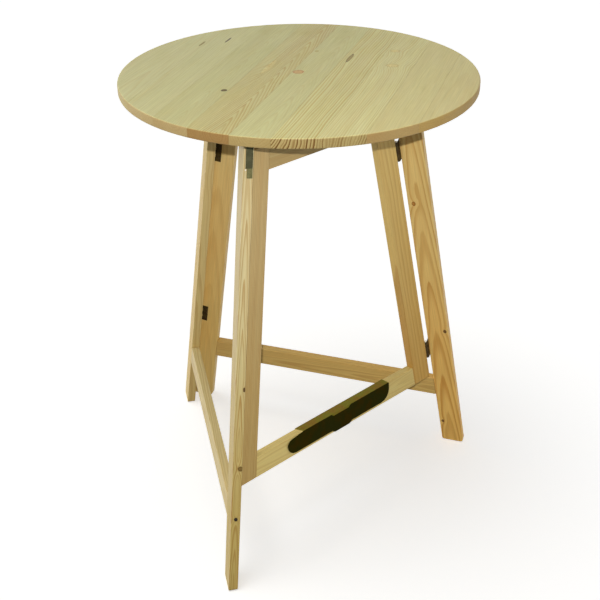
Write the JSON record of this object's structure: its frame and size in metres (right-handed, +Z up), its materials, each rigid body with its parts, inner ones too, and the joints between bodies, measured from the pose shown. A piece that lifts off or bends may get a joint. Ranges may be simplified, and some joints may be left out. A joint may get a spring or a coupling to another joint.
{
  "type": "bar table",
  "caption": "Bar table: round edge-glued pine top on a folding base of hinged, leaning pine frames, with a metal cover on the foot rail.",
  "frame": {"origin": "on the floor, under the middle of the table's bounding box", "axes": "+Z up; the front foot points to -Y, the rear frame faces +Y, the top's staves run along Y"},
  "size_m": [0.8376, 0.9048, 1.1],
  "materials": {
    "pine_top": "oiled, lightly weathered, knots and straight grain",
    "pine_frame": "oiled pine boards with eased arrises",
    "browned_steel": "dark olive-brown, satin",
    "brass_bright": "polished",
    "screw_steel": "dull"
  },
  "bodies": {
    "base": {"left_lower_hinge_pin": "brass_bright", "left_lower_hinge_rear_leaf": "browned_steel", "left_lower_hinge_rear_leaf_screw_1": "screw_steel", "left_lower_hinge_rear_leaf_screw_2": "screw_steel", "left_upper_hinge_pin": "brass_bright", "left_upper_hinge_rear_leaf": "browned_steel", "left_upper_hinge_rear_leaf_screw_1": "screw_steel", "left_upper_hinge_rear_leaf_screw_2": "screw_steel", "rear_foot_rail": "pine_frame", "rear_left_leg": "pine_frame", "rear_right_leg": "pine_frame", "rear_top_rail": "pine_frame", "right_lower_hinge_pin": "brass_bright", "right_lower_hinge_rear_leaf": "browned_steel", "right_lower_hinge_rear_leaf_screw_1": "screw_steel", "right_lower_hinge_rear_leaf_screw_2": "screw_steel", "right_upper_hinge_pin": "brass_bright", "right_upper_hinge_rear_leaf": "browned_steel", "right_upper_hinge_rear_leaf_screw_1": "screw_steel", "right_upper_hinge_rear_leaf_screw_2": "screw_steel"},
    "left_frame": {"left_foot_rail": "pine_frame", "left_front_leg": "pine_frame", "left_lower_hinge_moving_leaf": "browned_steel", "left_lower_hinge_moving_leaf_screw_1": "screw_steel", "left_lower_hinge_moving_leaf_screw_2": "screw_steel", "left_rear_leg": "pine_frame", "left_top_rail": "pine_frame", "left_upper_hinge_moving_leaf": "browned_steel", "left_upper_hinge_moving_leaf_screw_1": "screw_steel", "left_upper_hinge_moving_leaf_screw_2": "screw_steel", "strap_stud": "brass_bright"},
    "right_frame": {"foot_rest_cover": "browned_steel", "foot_rest_plate": "browned_steel", "right_foot_rail": "pine_frame", "right_front_leg": "pine_frame", "right_lower_hinge_moving_leaf": "browned_steel", "right_lower_hinge_moving_leaf_screw_1": "screw_steel", "right_lower_hinge_moving_leaf_screw_2": "screw_steel", "right_rear_leg": "pine_frame", "right_top_rail": "pine_frame", "right_upper_hinge_moving_leaf": "browned_steel", "right_upper_hinge_moving_leaf_screw_1": "screw_steel", "right_upper_hinge_moving_leaf_screw_2": "screw_steel"},
    "top": {"corner_strap": "browned_steel", "front_batten": "pine_frame", "rear_batten": "pine_frame", "strap_screw_1": "screw_steel", "strap_screw_2": "screw_steel", "top_stave_1": "pine_top", "top_stave_2": "pine_top", "top_stave_3": "pine_top", "top_stave_4": "pine_top", "top_stave_5": "pine_top", "top_stave_6": "pine_top", "top_stave_7": "pine_top", "top_stave_8": "pine_top", "top_stave_9": "pine_top"}
  },
  "joints": [
    {"name": "top_lift", "type": "slide", "parent": "base", "child": "top", "axis": [0, 0, 1], "range_m": [0, 0.25]},
    {"name": "right_frame_fold", "type": "hinge", "parent": "base", "child": "right_frame", "pos_m": [0.30757, 0.22875, 0.308], "axis": [-0.158, -0.0912, 0.9832], "range_deg": [-54, 0]},
    {"name": "left_frame_swing", "type": "hinge", "parent": "base", "child": "left_frame", "pos_m": [-0.34242, 0.23347, 0.308], "axis": [0.158, -0.0912, 0.9832], "range_deg": [-29.7, 0]}
  ],
  "couplings": [
    {"joint": "right_frame_fold", "follows": "top_lift", "rad_per_m": -3.7698},
    {"joint": "left_frame_swing", "follows": "top_lift", "rad_per_m": -2.0734}
  ]
}
